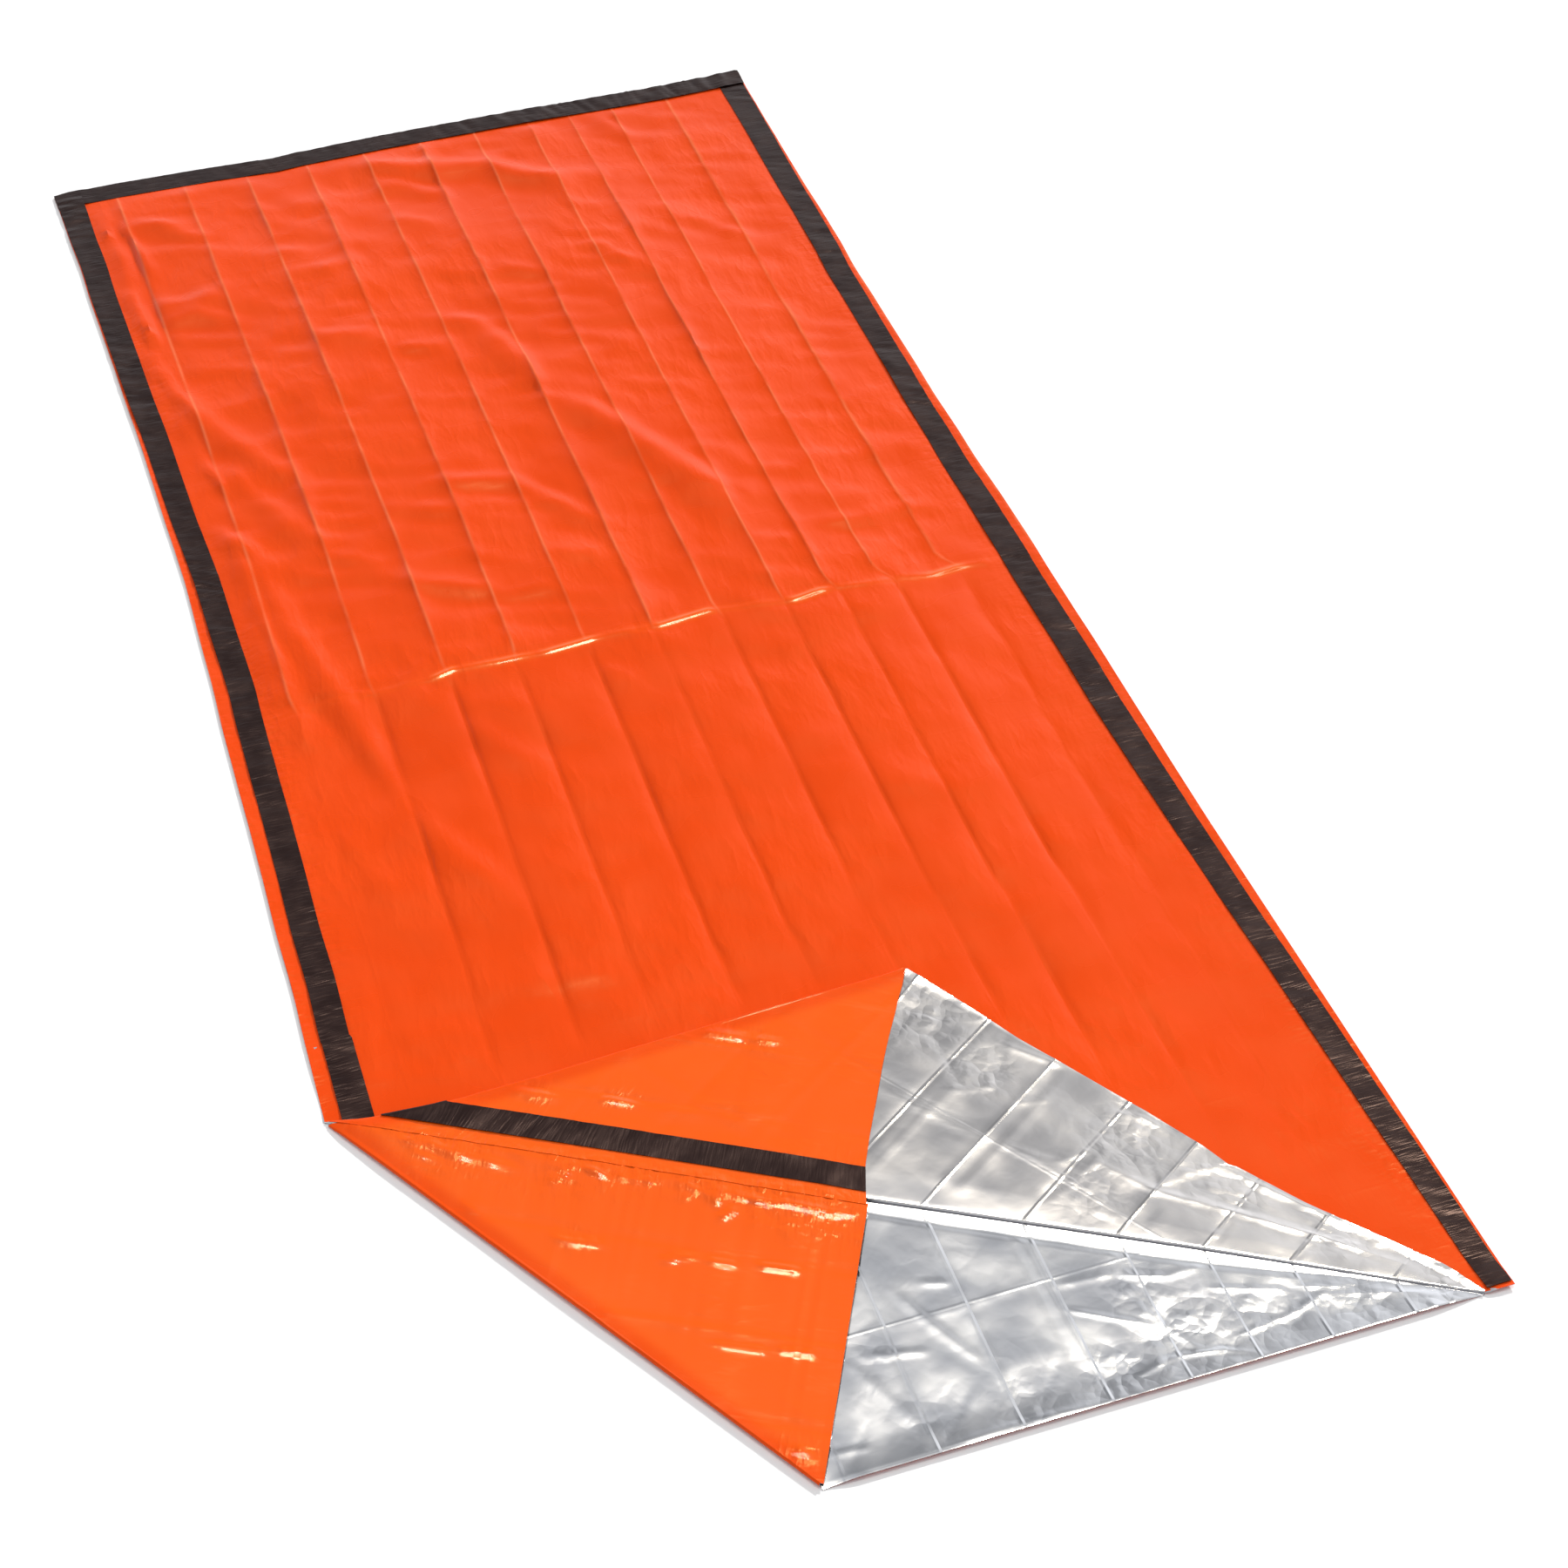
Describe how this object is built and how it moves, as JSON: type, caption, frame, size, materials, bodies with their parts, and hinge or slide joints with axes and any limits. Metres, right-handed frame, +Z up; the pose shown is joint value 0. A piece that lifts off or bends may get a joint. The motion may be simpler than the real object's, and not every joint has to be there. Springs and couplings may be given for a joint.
{
  "type": "emergency sleeping bag",
  "caption": "Flat film survival sleeping bag, orange outside and silver inside, with black seam tape and one mouth corner folded open.",
  "frame": {"origin": "centre of the bag's footprint, on the surface that it lies on", "axes": "+X across the bag to the right, +Y from the mouth to the foot, +Z up"},
  "size_m": [0.91, 2.13, 0.016],
  "materials": {
    "lower_film": "crinkled aluminised film inside, semi-gloss orange film outside",
    "upper_film": "semi-gloss orange film outside, crinkled aluminised film inside",
    "tape": "black film tape with fine ruffles"
  },
  "bodies": {
    "root": {"lower_panel": "lower_film", "upper_panel": "upper_film", "left_tape": "tape", "right_tape": "tape", "foot_tape": "tape"}
  },
  "joints": []
}
